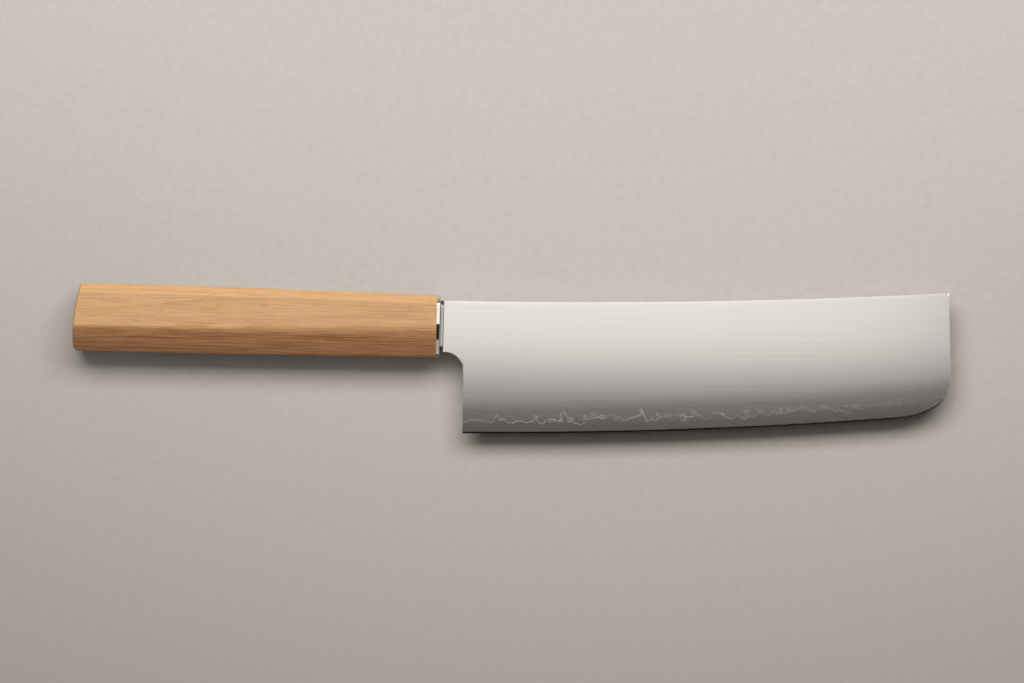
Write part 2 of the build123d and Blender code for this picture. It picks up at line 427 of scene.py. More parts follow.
def blade_grid():
    """Shares down the columns at which the rows of the blade's grid lie, and the columns themselves.

    Rows gather at the rubbed spine, where the cladding ends and where the bevel begins. Two of the core's
    rows lie almost together at the cladding's end, so that the turn from its flat side to its ground side
    stays crisp.
    """
    top, bottom, *bevel = blade_columns()
    is_tang = bevel[-1]

    def halves(share):
        """Half thickness this share of the way down each column, and how far outside it the bevel lies."""
        return blade_half(top + np.reshape(share, (-1, 1)) * (bottom - top), *bevel)

    def rows(start, end, count):
        """Shares of this many rows, spread evenly from after start up to end."""
        return start + np.outer(np.linspace(0, 1, count + 1)[1:], end - start)

    cladding_end = crossing(lambda share: halves(share)[0] - CORE_HALF)
    bevel_start = crossing(lambda share: halves(share)[1])
    first = np.minimum(cladding_end, bevel_start)
    second = np.maximum(cladding_end, bevel_start)
    length = np.maximum(np.linalg.norm(bottom - top, axis=-1), TINY)
    rub = np.minimum(SPINE_EASING / length, GREATEST_RUB_SHARE * first)
    turns = np.linspace(0, math.pi / 2, RUB_ROWS)
    rubbed = np.outer(1 - np.cos(turns), rub)
    rub_depth = np.where(is_tang, 0, np.minimum(SPINE_EASING, rub * length))
    rub_drop = np.outer(1 - np.sin(turns), rub_depth)

    rows_to_first = np.concatenate([rubbed, rows(rub, first, FACE_ROWS)])
    cladding_rows = np.concatenate([rows_to_first, rows(first, cladding_end, CLADDING_END_ROWS)])
    past_first = np.minimum(first + SEAM_ROW / length, second)
    to_second = rows(past_first, second, CORE_ROWS)
    to_edge = rows(second, np.ones(len(top)), BEVEL_ROWS)
    core_rows = np.concatenate([rows_to_first, past_first[None], to_second, to_edge])
    return top, bottom, bevel, cladding_rows, core_rows, rub_drop


def blade_pieces(steel):
    """The core and its two claddings, each a plate between two heights on the same columns."""
    top, bottom, bevel, cladding_rows, core_rows, rub_drop = blade_grid()

    def surface(rows):
        """The places where rows cross the columns, and the half thickness there, less what the spine lost."""
        places = top + rows[..., None] * (bottom - top)
        half = blade_half(places, *bevel)[0]
        half[:RUB_ROWS] -= rub_drop
        return places, half

    places, half = surface(core_rows)
    core = np.minimum(half, CORE_HALF)
    points, quads = plate_mesh(places, core, -core)
    finished_piece("blade_core", points, quads, steel, ["core_steel"], BLADE_CRISP_TURN)

    places, half = surface(cladding_rows)
    outer = np.maximum(half, CORE_HALF)
    inner = np.full_like(half, CORE_HALF)
    for side, upper, lower in (("right", outer, inner), ("left", -inner, -outer)):
        points, quads = plate_mesh(places, upper, lower)
        name, node = f"blade_cladding_{side}", f"cladding_{side}"
        finished_piece(name, points, quads, steel, [node], BLADE_CRISP_TURN)


# Handle, ring and collar

def rounded_corner(before, corner, after, count):
    """A corner softened by a parabola that has the corner as its control point."""
    share = np.linspace(0, 1, count)[:, None]
    return (1 - share) ** 2 * before + 2 * share * (1 - share) * corner + share**2 * after


def towards(start, end, reach):
    """The point this far from start on the straight way to end."""
    return start + (end - start) / np.linalg.norm(end - start) * reach


def handle_outline(share):
    """The handle's cross-section, share of the way from the ring to the butt, as points (height, side).

    Straight facets with softened corners, and a belly facet bulged by a parabola. The crease above the
    belly runs along the handle in a shallow bow, softer towards the ring. The outline's two halves mirror
    each other.
    """
    bulge = 4 * share * (1 - share)
    high = between(FERRULE_HEIGHT, BUTT_HEIGHT, share) / 2 + MIDDLE_SWELL * bulge
    wide = between(FERRULE_THICKNESS, BUTT_THICKNESS, share) / 2
    crease_drop = between(FERRULE_CREASE_DROP, BUTT_CREASE_DROP, share) + CREASE_BOW * bulge
    crease_reach = between(FERRULE_CREASE_SOFTNESS, BUTT_CREASE_SOFTNESS, share)
    middle_top = np.array([high, 0.0])
    corner = np.array([high, wide - TOP_CHAMFER])
    shoulder = np.array([high - TOP_CHAMFER, wide])
    crease = np.array([-crease_drop, wide])
    foot = np.array([-high, UNDERSIDE_WIDTH / 2])
    middle_bottom = np.array([-high, 0.0])

    belly_way = foot - crease
    belly_length = np.linalg.norm(belly_way)
    outwards = np.array([belly_way[1], -belly_way[0]]) / belly_length

    def belly(part):
        """Points part of the way from the crease to the foot, pushed outwards by a parabola."""
        part = np.asarray(part)[:, None]
        return crease + part * belly_way + 4 * BELLY_BULGE * part * (1 - part) * outwards

    def softened(before, corner, after):
        """A corner of two flat facets, softened from a little before it to a little after it."""
        start = towards(corner, before, FACET_SOFTNESS)
        end = towards(corner, after, FACET_SOFTNESS)
        return rounded_corner(start, corner, end, FACET_CORNER_POINTS)

    crease_part = crease_reach / belly_length
    foot_part = 1 - FACET_SOFTNESS / belly_length
    top_end = towards(corner, middle_top, FACET_SOFTNESS)
    side_start = towards(shoulder, crease, FACET_SOFTNESS)
    side_end = towards(crease, shoulder, crease_reach)
    belly_start, belly_end = belly([crease_part, foot_part])
    underside_start = towards(foot, middle_bottom, FACET_SOFTNESS)
    right = np.concatenate([
        np.linspace(middle_top, top_end, TOP_POINTS)[:-1],
        softened(middle_top, corner, shoulder),
        softened(corner, shoulder, crease),
        np.linspace(side_start, side_end, SIDE_POINTS)[1:-1],
        rounded_corner(side_end, crease, belly_start, CREASE_POINTS),
        belly(np.linspace(crease_part, foot_part, BELLY_POINTS))[1:-1],
        rounded_corner(belly_end, foot, underside_start, FACET_CORNER_POINTS),
        np.linspace(underside_start, middle_bottom, UNDERSIDE_POINTS)[1:],
    ])
    left = right[-2:0:-1] * [1, -1]
    return np.concatenate([right, left])


def rays_through(outline):
    """How far up and sideways a ray of length one goes from the axis through each point of an outline."""
    angles = np.arctan2(outline[:, 1], outline[:, 0])
    return np.cos(angles), np.sin(angles)


def stadium_outline(outline, height, width):
    """The round-ended slot of this height and width, met by rays from the axis through given points."""
    up, side = rays_through(outline)
    radius = width / 2
    straight = height / 2 - radius
    on_side = radius / np.maximum(np.abs(side), TINY)
    on_end = straight * np.abs(up) + np.sqrt(np.maximum(radius**2 - (straight * side) ** 2, 0))
    reach = np.where(np.abs(on_side * up) <= straight, on_side, on_end)
    return np.stack([reach * up, reach * side], axis=-1)


def tang_slot(outline):
    """The rectangle with room for the tang, met by rays from the axis through given points."""
    up, side = rays_through(outline)
    on_end = (TANG_HALF_HEIGHT + SLOT_CLEARANCE) / np.maximum(np.abs(up), TINY)
    on_side = (TANG_HALF + SLOT_CLEARANCE) / np.maximum(np.abs(side), TINY)
    reach = np.minimum(on_end, on_side)
    return np.stack([reach * up, reach * side], axis=-1)


def ring_at(x, outline):
    """An outline across the handle, set at x, which may differ from point to point."""
    return np.column_stack([np.broadcast_to(x, len(outline)), outline])


def handle_piece(wood):
    """The wooden handle: rounded butt, eased rim, long facets, flat front face and the mortise inside.

    The butt is part of a ball. Its rim adds a quarter circle to the ball's depth as the outline shrinks, a
    wider one towards the underside.
    """
    butt = handle_outline(1.0)
    reach = np.linalg.norm(butt, axis=-1)

    def cap(shares, depth):
        """The butt's outline shrunk to shares of itself, as deep as the ball is there and this much more."""
        outline = butt * shares[:, None]
        away = np.hypot(outline[:, 0] + BUTT_MIDDLE_DROP, outline[:, 1])
        sunk = BUTT_RADIUS - np.sqrt(BUTT_RADIUS**2 - away**2)
        return ring_at(BUTT_END + sunk + depth, outline)

    lowness = np.clip(-butt[:, 0] / BUTT_HEIGHT * 2, 0, 1) ** FOOT_STEEPNESS
    easing = between(BUTT_EASING, BUTT_FOOT_EASING, lowness)
    rings = [cap((1 - easing / reach) * share, 0.0) for share in np.linspace(0, 1, BUTT_RINGS)]
    for turn in np.linspace(0, math.pi / 2, BUTT_RIM_RINGS)[1:]:
        rings.append(cap(1 - easing * (1 - math.sin(turn)) / reach, easing * (1 - math.cos(turn))))
    rim = rings[-1][:, 0]
    for share in np.linspace(1, 0, HANDLE_RINGS)[1:]:
        rings.append(ring_at(between(WOOD_FRONT, rim, share), handle_outline(share)))
    mortise_height = 2 * (TANG_HALF_HEIGHT + GLUE_GAP)
    mortise = stadium_outline(handle_outline(0.0), mortise_height, 2 * (TANG_HALF + GLUE_GAP))
    rings.append(ring_at(WOOD_FRONT, mortise))
    rings.append(ring_at(-TANG_LENGTH - GLUE_GAP, mortise))
    rings.append(ring_at(-TANG_LENGTH - GLUE_GAP, mortise * 0))
    points, quads = ring_mesh(tilted(np.array(rings)), closed=False)
    nodes = ["handle_body"]
    handle = finished_piece("handle_wood", points, quads, wood, nodes, HANDLE_CRISP_TURN)
    # The wood gives the floor no warm glow, because none shows in the real one's shadow
    handle.visible_diffuse = False


def band_rings(outer, front, length, front_easing, back_easing):
    """Rings of a flat band round the tang, with a quarter-round front rim and back rim.

    A further ring just inside each rim keeps the band's shading flat between them, as a mirror needs.
    """
    back = front - length
    slot = tang_slot(outer)
    middle = np.linalg.norm(outer, axis=-1)[:, None]

    def rim(end, easing, turn):
        """The band's outline on the quarter circle that eases one end, this turn round it."""
        shrunk = outer * (1 - abs(easing) * (1 - math.sin(turn)) / middle)
        return ring_at(end + easing * (1 - math.cos(turn)), shrunk)

    turns = np.linspace(0, math.pi / 2, BAND_RIM_RINGS)
    rings = [ring_at(front, slot)]
    rings += [rim(front, -front_easing, turn) for turn in turns]
    rings.append(ring_at(front - front_easing - SEAM_ROW, outer))
    rings.append(ring_at(back + back_easing + SEAM_ROW, outer))
    rings += [rim(back, back_easing, turn) for turn in turns[::-1]]
    rings.append(ring_at(back, slot))
    return tilted(np.array(rings))


def ring_piece(steel):
    """The end ring, flush with the wood, with a slightly rolled front rim."""
    outline = handle_outline(0.0)
    rings = band_rings(outline, RING_FRONT, RING_LENGTH, RING_FRONT_EASING, RING_BACK_EASING)
    points, quads = ring_mesh(rings, closed=True)
    nodes = ["handle_ring"]
    finished_piece("handle_end_ring", points, quads, steel, nodes, BAND_CRISP_TURN)


def collar_piece(steel):
    """The round-ended collar between the ring and the blade, rolled so that a seam shows on each side.

    The rays that set out its outline go through an oval's points, so that they gather at its round ends.
    """
    angles = steps(0, 2 * math.pi, COLLAR_POINTS)
    oval = np.stack([np.cos(angles) * RAY_OVAL_STRETCH, np.sin(angles)], axis=-1)
    outline = stadium_outline(oval, NECK_HEIGHT, COLLAR_THICKNESS)
    rings = band_rings(outline, 0.0, COLLAR_LENGTH, COLLAR_FRONT_EASING, COLLAR_BACK_EASING)
    points, quads = ring_mesh(rings, closed=True)
    nodes = ["root_collar"]
    finished_piece("neck_collar", points, quads, steel, nodes, BAND_CRISP_TURN)


# Materials

# Kinds of node, and settings that several of them share
COORDINATES = "ShaderNodeTexCoord"
SPLIT = "ShaderNodeSeparateXYZ"
MATH = "ShaderNodeMath"
VECTOR_MATH = "ShaderNodeVectorMath"
NOISE = "ShaderNodeTexNoise"
RAMP = "ShaderNodeValToRGB"
RANGE = "ShaderNodeMapRange"
MIX = "ShaderNodeMix"
EASED = {"interpolation_type": "SMOOTHSTEP"}
COLOURS = {"data_type": "RGBA", "output": 2}

# Every pattern's size is its patches' length along X, Y and Z, and its noise swings about a middle. The
# pair that a noise, a height or a distance is eased between holds the value that gives nought and then
# the one that gives all
NOISE_MIDDLE = 0.5

# Weld line: the surface's slope there, the sizes and strengths of the patterns that move the line, and the
# height above the cladding's end within which loops lie beside it
GRIND_SLOPE = 0.0376
WAVE_SIZE = (3.6, 30, 90)
WAVE_STRENGTH = 6.0
CURL_SIZE = (2.4, 2.0, 40)
CURL_STRENGTH = (0.3, 4.0)
CURL_PATCH_SIZE = (16, 90, 90)
CURL_PATCH = (0.38, 0.62)
LOOP_SIZE = (2.0, 1.7, 40)
LOOP_LEVEL = 0.74
LOOP_BAND = (1.4, 0.98)

# How the line shows: the step its slope is measured over, the least slope, the distances from its middle
# that it fades between, its fainter patches, its fading towards the tip, and what it adds to the steel
FIELD_STEP = 0.1
LEAST_SLOPE = 0.15
LINE_RIM = (0.1575, 0.0525)
LINE_PATCH_SIZE = (7, 30, 90)
LINE_PATCH = (0.3, 0.55)
LINE_PATCH_STRENGTH = (0.4, 1.0)
LINE_FADE = (83, 168)
LINE_FADE_STRENGTH = (1.0, 0.4)
LINE_PALENESS = 0.6
LINE_ROUGHNESS = 0.1

# Blade: heights above the cladding's end between which the core begins, and the hairlines of its satin.
# Real ones are a few hundredths wide, too fine to show, so these are drawn about ten times as wide
CORE_RIM = (1.0, -1.5)
HAIRLINE_SIZE = (60, 0.5, 60)
HAIRLINE_ROUGHNESS = 0.02
BLADE_ROUGHNESS = 0.142

# Painted shade along the edge, where the blade mirrors less light: the heights above the cladding's end that
# it fades between, and how dark
EDGE_SHADE_BAND = (6.5, 2.0)
EDGE_SHADE_DEPTH = 0.22

# Sharpened bevel, coloured dark as painted shade for the dark that it mirrors from above: the half
# thicknesses, the heights from the handle's axis and the distances past the heel's corner between which that
# shade begins
BEVEL_HALF = (0.145, 0.13)
BEVEL_TOP = (-22.5, -24.5)
BEVEL_START = (0.4, 0.6)

# Mirror of the ring: its haze of scratches, which are too fine to show singly, is drawn as soft patches
HAZE_SIZE = (0.4, 0.4, 0.4)
HAZE_ROUGHNESS = 0.05
MIRROR_ROUGHNESS = 0.05

# Collar: the scratches that blur into its even satin, the distances from its round ends and from its
# seams between which painted shade begins, how strong it is in the seams, and how dark
SCRATCH_SIZE = (0.1, 2, 2)
SCRATCH_ROUGHNESS = 0.15
COLLAR_ROUGHNESS = 0.35
END_PAINTED_SHADE = (2.1, 1.4)
SEAM_PAINTED_SHADE = (0.3, 0.1)
SEAM_STRENGTH = 0.8
PAINTED_SHADE_DEPTH = 0.85

# Growth rings: where the middle of the tree lies, in Y and Z, how far apart the rings are, and the slow
# swirl and the quick ripple that bend them, with how many rings each moves them by
PITH_PLACE = (-2.0, -84.0)
RING_SPACING = 1.35
SWIRL_SIZE = (70, 9, 9)
SWIRL_RINGS = 3.4
RIPPLE_SIZE = (18, 1.6, 1.6)
RIPPLE_RINGS = 0.5

# Heartwood and painted shade on the underside: where their darker, redder colour starts and is full, as
# heights above the handle's axis. The start rises to the ring
HEART_AND_SHADE_START = -2.2
HEART_AND_SHADE_START_AT_RING = 1.4
HEART_AND_SHADE_SLOPE = 0.05
HEART_AND_SHADE_END = -4.2

# Streaks and fibres: how they are eased, what the heartwood and painted shade of the underside add to their
# strength and what they have everywhere. Real fibres are hundredths of a millimetre wide, so a whole bundle
# is drawn as one
STREAK_SIZE = (60, 0.8, 0.8)
STREAK_RIM = (0.5, 0.68)
STREAK_STRENGTH = (0.55, 0.1)
FIBRE_SIZE = (12, 0.35, 0.35)
FIBRE_RIM = (0.6, 0.3)
FIBRE_STRENGTH = (0.44, 0.27)
FIBRE_ROUGHNESS = 0.15
WOOD_ROUGHNESS = 0.42

# Open pores, as long and as wide as oak's own, with how dark they are and how deep beside the fibres
PORE_SIZE = (3.5, 0.28, 0.28)
PORE_RIM = (0.4, 0.28)
PORE_SHADE = 0.35
PORE_DEPTH = 0.6
RELIEF_STRENGTH = 0.2
RELIEF_HEIGHT = 0.05

# Resin's clouds and roughness
CLOUD_SIZE = (4, 4, 4)
RESIN_ROUGHNESS = 0.3

# Floor: its mottle, the middle of its painted pool of light, the distances that light fades out between, and
# its roughness
MOTTLE_SIZE = (2.5, 2.5, 2.5)
PAINTED_LIGHT_CENTRE = (40, 350, 0)
PAINTED_LIGHT_FALLOFF = (250, 650)
FLOOR_ROUGHNESS = 0.9

# Room: how bright it is, how much brighter its mirrored walls are, and the heights and sideways parts of a
# direction, as shares of its length, between which the ceiling and the middle pass into the walls
ROOM_LEVEL = 0.03
WALL_LEVEL = 0.4
CEILING_RIM = (0.95, 0.85)
WALL_RIM = (0.04, 0.16)


def linear(colour):
    """A hex colour turned by the sRGB curve into a shader's linear red, green, blue and alpha."""
    parts = [int(colour[i:i + 2], 16) / 255 for i in (1, 3, 5)]
    return [part / 12.92 if part <= 0.04045 else ((part + 0.055) / 1.055) ** 2.4 for part in parts] + [1.0]


def feed(node, inputs):
    """Set a node's inputs, by order, name or number, to outputs, hex colours, numbers or vectors."""
    for name, value in inputs.items() if isinstance(inputs, dict) else enumerate(inputs):
        if isinstance(value, bpy.types.NodeSocket):
            node.id_data.links.new(value, node.inputs[name])
        elif isinstance(value, str):
            node.inputs[name].default_value = linear(value)
        else:
            node.inputs[name].default_value = value


def add(tree, kind, inputs=(), output=0, stops=(), **settings):
    """A new node with settings, inputs and, for a ramp, stops (position, hex colour), as its output."""
    made = tree.nodes.new(kind)
    for name, value in settings.items():
        setattr(made, name, value)
    feed(made, inputs)
    for _ in stops[2:]:
        made.color_ramp.elements.new(0.5)
    for number, (position, colour) in enumerate(stops):
        made.color_ramp.elements[number].position = position
        made.color_ramp.elements[number].color = linear(colour)
    return made.outputs[output]


def new_material(name):
    """An empty material, its node tree and its shader."""
    material = bpy.data.materials.new(name)
    material.use_nodes = True
    tree = material.node_tree
    return material, tree, tree.nodes["Principled BSDF"]


def surface_place(tree, origin=(0, 0, 0)):
    """The place on the surface, in millimetres from an origin."""
    seen = add(tree, COORDINATES, output="Object")
    scale = np.ones(3) / MM
    return add(tree, VECTOR_MATH, [seen, scale, np.negative(origin)], operation="MULTIPLY_ADD")


def handle_place(tree):
    """The place along the handle's own axis: X towards the tip, Y up from the axis and Z across."""
    turn = {"Vector": surface_place(tree, KNIFE_ORIGIN), "Angle": HANDLE_TILT}
    return add(tree, "ShaderNodeVectorRotate", turn, rotation_type="Z_AXIS")


def stretched_noise(tree, place, size, detail=2.0, roughness=0.5):
    """Noise whose patches are size millimetres along X, Y and Z, as a factor from 0 to 1."""
    stretched = add(tree, VECTOR_MATH, [place, np.divide(1, size)], operation="MULTIPLY")
    inputs = {"Vector": stretched, "Scale": 1.0, "Detail": detail, "Roughness": roughness}
    return add(tree, NOISE, inputs)


def level_line(tree, field, rise):
    """Where a field is zero, as a factor: one on the line and nought beside it, equally wide all along.

    The field is a function of a shift in millimetres, given without its own even rise towards the spine.
    The distance from the line is the field's size over its slope, worked out from its values a step away.
    """
    here = field((0, 0, 0))
    slopes = []
    for shift in ((FIELD_STEP, 0, 0), (0, FIELD_STEP, 0)):
        gain = add(tree, MATH, [field(shift), here], operation="SUBTRACT")
        slopes.append(add(tree, MATH, [gain, FIELD_STEP], operation="DIVIDE"))
    along, up = slopes
    up = add(tree, MATH, [up, rise], operation="ADD")
    up_square = add(tree, MATH, [up, up], operation="MULTIPLY")
    squares = add(tree, MATH, [along, along, up_square], operation="MULTIPLY_ADD")
    root = add(tree, MATH, [squares], operation="SQRT")
    slope = add(tree, MATH, [root, LEAST_SLOPE], operation="MAXIMUM")
    size = add(tree, MATH, [here], operation="ABSOLUTE")
    distance = add(tree, MATH, [size, slope], operation="DIVIDE")
    return add(tree, RANGE, [distance, *LINE_RIM], **EASED)


def weld_line(tree, place, above):
    """The weld line and its loops, as a factor, from the place and its height above the cladding's end.

    The line is where the height, pushed up and down by waves and curls, is nought. The loops are level
    lines of a noise of their own, and only show near it.
    """

    def moved(shift):
        """The place a shift away."""
        return add(tree, VECTOR_MATH, [place, shift], operation="ADD")

    def weld_field(shift):
        """The height, pushed by waves and by curls, which grow and fade in patches."""
        at = moved(shift)
        curl = stretched_noise(tree, at, CURL_SIZE, detail=0.0)
        wave = stretched_noise(tree, at, WAVE_SIZE, detail=1.0)
        patch = stretched_noise(tree, at, CURL_PATCH_SIZE)
        curl = add(tree, MATH, [curl, NOISE_MIDDLE], operation="SUBTRACT")
        wave = add(tree, MATH, [wave, NOISE_MIDDLE], operation="SUBTRACT")
        strength = add(tree, RANGE, [patch, *CURL_PATCH, *CURL_STRENGTH], **EASED)
        curled = add(tree, MATH, [curl, strength], operation="MULTIPLY")
        pushed = add(tree, MATH, [wave, WAVE_STRENGTH, curled], operation="MULTIPLY_ADD")
        return add(tree, MATH, [above, pushed], operation="ADD")

    def loop_field(shift):
        """A noise less the level at which it is cut into loops."""
        loop = stretched_noise(tree, moved(shift), LOOP_SIZE, detail=0.0)
        return add(tree, MATH, [loop, LOOP_LEVEL], operation="SUBTRACT")

    height = add(tree, MATH, [above], operation="ABSOLUTE")
    near_weld = add(tree, RANGE, [height, *LOOP_BAND], **EASED)
    loops = add(tree, MATH, [level_line(tree, loop_field, 0.0), near_weld], operation="MULTIPLY")
    return add(tree, MATH, [level_line(tree, weld_field, 1.0), loops], operation="MAXIMUM")


def satin_blade_steel():
    """Stainless steel in three layers, ground convex and brushed lengthwise to a fine satin.

    Brushing gives the eye a soft sheen that fades from the spine to the edge, with faint hairlines along
    the blade. The core shows a shade warmer than the cladding. Where the cladding ends, a thin pale weld
    line zigzags and curls, with small closed loops beside it, because the layers flowed into each other
    under the hammer. Painted shade darkens a band near the edge, where the blade mirrors less light, and
    the bevel, a mirror that leans away, is painted darker still, standing for the dark that it mirrors.
    """
    material, tree, shader = new_material("satin brushed layered stainless steel")
    place = surface_place(tree)
    x, y, z = add(tree, SPLIT, [surface_place(tree, KNIFE_ORIGIN)]).node.outputs
    half = add(tree, MATH, [z], operation="ABSOLUTE")
    past_core = add(tree, MATH, [half, CORE_HALF], operation="SUBTRACT")
    above = add(tree, MATH, [past_core, GRIND_SLOPE], operation="DIVIDE")

    patch = stretched_noise(tree, place, LINE_PATCH_SIZE)
    patchy = add(tree, RANGE, [patch, *LINE_PATCH, *LINE_PATCH_STRENGTH], **EASED)
    towards_tip = add(tree, RANGE, [x, *LINE_FADE, *LINE_FADE_STRENGTH], **EASED)
    line = weld_line(tree, place, above)
    for strength in (patchy, towards_tip):
        line = add(tree, MATH, [line, strength], operation="MULTIPLY")
    line_paleness = add(tree, MATH, [line, LINE_PALENESS], operation="MULTIPLY")

    is_core = add(tree, RANGE, [above, *CORE_RIM], **EASED)
    # Painted shade: a darker band along the edge, where the blade mirrors less of the overhead light
    painted_edge_shade = add(tree, RANGE, [above, *EDGE_SHADE_BAND, 0, EDGE_SHADE_DEPTH], **EASED)
    # Painted shade: the bevel is coloured dark, standing for the dark room that it mirrors
    painted_bevel_shade = add(tree, RANGE, [half, *BEVEL_HALF], **EASED)
    low = add(tree, RANGE, [y, *BEVEL_TOP], **EASED)
    past_heel = add(tree, RANGE, [x, *np.add(HEEL_X, BEVEL_START)], **EASED)
    for limit in (low, past_heel):
        painted_bevel_shade = add(tree, MATH, [painted_bevel_shade, limit], operation="MULTIPLY")

    hairline = stretched_noise(tree, place, HAIRLINE_SIZE, detail=3.0, roughness=0.6)
    steel = add(tree, RAMP, [hairline], stops=[(0.3, "#d9d6d2"), (0.7, "#e0ddd9")])
    layers = [
        (is_core, "#d3cec6"),
        (line_paleness, "#fdfbf8"),
        (painted_edge_shade, "#000000"),
        (painted_bevel_shade, "#4b4845"),
    ]
    for factor, colour in layers:
        steel = add(tree, MIX, {0: factor, 6: steel, 7: colour}, **COLOURS)
    brushed = add(tree, MATH, [hairline, HAIRLINE_ROUGHNESS, BLADE_ROUGHNESS], operation="MULTIPLY_ADD")
    roughness = add(tree, MATH, [line, LINE_ROUGHNESS, brushed], operation="MULTIPLY_ADD")
    feed(shader, {"Base Color": steel, "Metallic": 1.0, "Roughness": roughness})
    return material


def polished_ring_steel():
    """Stainless steel buffed to a mirror: clear reflections under a faint haze of fine scratches."""
    material, tree, shader = new_material("mirror polished stainless steel")
    haze = stretched_noise(tree, surface_place(tree), HAZE_SIZE, detail=3.0)
    steel = add(tree, RAMP, [haze], stops=[(0.3, "#dcdad6"), (0.7, "#e6e4e0")])
    roughness = add(tree, MATH, [haze, HAZE_ROUGHNESS, MIRROR_ROUGHNESS], operation="MULTIPLY_ADD")
    feed(shader, {"Base Color": steel, "Metallic": 1.0, "Roughness": roughness})
    return material


def satin_collar_steel():
    """Stainless steel wiped with fine abrasive round its rim: an even satin, duller than the mirror ring.

    Its two seams and its round ends are darkened with painted shade, for the shadow in the seams and the dark
    that the round ends mirror.
    """
    material, tree, shader = new_material("satin stainless steel")
    place = handle_place(tree)
    x, y, _ = add(tree, SPLIT, [place]).node.outputs
    scratch = stretched_noise(tree, place, SCRATCH_SIZE)
    steel = add(tree, RAMP, [scratch], stops=[(0.35, "#bdb9b5"), (0.65, "#d2cecb")])
    # Painted shade in the seams and at the round ends
    from_axis = add(tree, MATH, [y], operation="ABSOLUTE")
    at_ends = add(tree, RANGE, [from_axis, *np.subtract(NECK_HEIGHT / 2, END_PAINTED_SHADE)], **EASED)
    along = add(tree, MATH, [x, COLLAR_LENGTH / 2], operation="ADD")
    from_middle = add(tree, MATH, [along], operation="ABSOLUTE")
    seams = np.subtract(COLLAR_LENGTH / 2, SEAM_PAINTED_SHADE)
    at_seams = add(tree, RANGE, [from_middle, *seams, 0, SEAM_STRENGTH], **EASED)
    painted_shade = add(tree, MATH, [at_ends, at_seams], operation="MAXIMUM")
    shade = add(tree, MATH, [painted_shade, PAINTED_SHADE_DEPTH], operation="MULTIPLY")
    shaded_steel = add(tree, MIX, {0: shade, 6: steel, 7: "#3b3835"}, **COLOURS)
    roughness = add(tree, MATH, [scratch, SCRATCH_ROUGHNESS, COLLAR_ROUGHNESS], operation="MULTIPLY_ADD")
    feed(shader, {"Base Color": shaded_steel, "Metallic": 1.0, "Roughness": roughness})
    return material


def growth_rings(tree, place):
    """How far through its year the wood at a place grew, as a factor.

    It is the distance from the pith, counted in rings and moved by a swirl and a ripple, less whole rings.
    """
    from_pith = add(tree, VECTOR_MATH, [place, (0, *PITH_PLACE)], operation="SUBTRACT")
    flat = add(tree, VECTOR_MATH, [from_pith, (0, 1, 1)], operation="MULTIPLY")
    radius = add(tree, VECTOR_MATH, [flat], output="Value", operation="LENGTH")
    rings = add(tree, MATH, [radius, RING_SPACING], operation="DIVIDE")
    swirl = stretched_noise(tree, place, SWIRL_SIZE, detail=1.5)
    ripple = stretched_noise(tree, place, RIPPLE_SIZE)
    for bend, moved in ((swirl, SWIRL_RINGS), (ripple, RIPPLE_RINGS)):
        rings = add(tree, MATH, [bend, moved, rings], operation="MULTIPLY_ADD")
    return add(tree, MATH, [rings], operation="FRACT")


